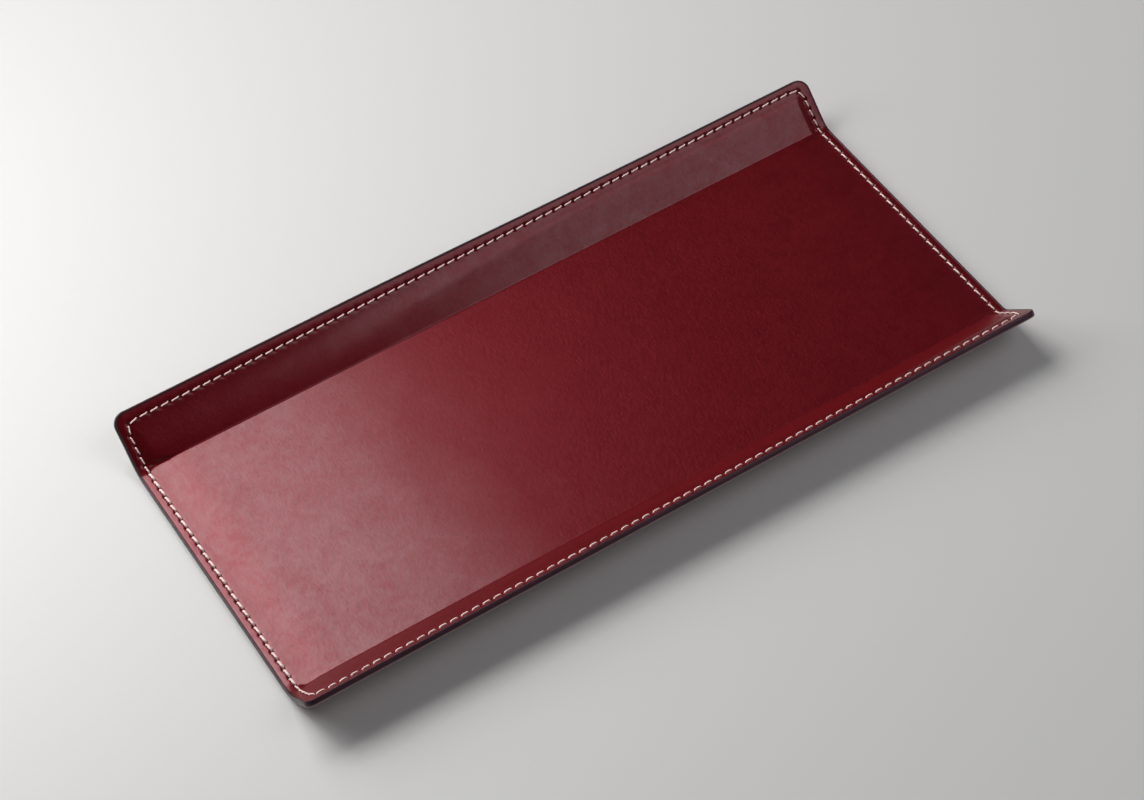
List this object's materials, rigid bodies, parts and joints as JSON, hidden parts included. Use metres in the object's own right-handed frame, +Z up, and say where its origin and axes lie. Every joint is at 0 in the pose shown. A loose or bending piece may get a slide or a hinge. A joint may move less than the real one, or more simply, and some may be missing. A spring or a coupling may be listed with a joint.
{
  "type": "pen tray",
  "caption": "Shallow leather desk tray for pens: flat floor, two flared long walls, open short ends, bent stiffening core and a stitched, painted rim.",
  "frame": {"origin": "centre of the resting face, at the bottom centre of the tray's box", "axes": "+X along the tray towards the end that is on the right in the picture, +Y across it towards the far wall, +Z up"},
  "size_m": [0.24, 0.1194, 0.0152],
  "materials": {
    "lining_leather": "smooth, semi-gloss, burgundy",
    "base_leather": "smooth, satin, burgundy",
    "core_sheet": "mill finish",
    "edge_paint": "satin edge paint, dark plum",
    "thread": "twisted bonded thread, cream"
  },
  "bodies": {
    "root": {"lining_leather": "lining_leather", "base_leather": "base_leather", "core_sheet": "core_sheet", "edge_paint": "edge_paint", "needle_thread": "thread", "bobbin_thread": "thread"}
  },
  "joints": []
}
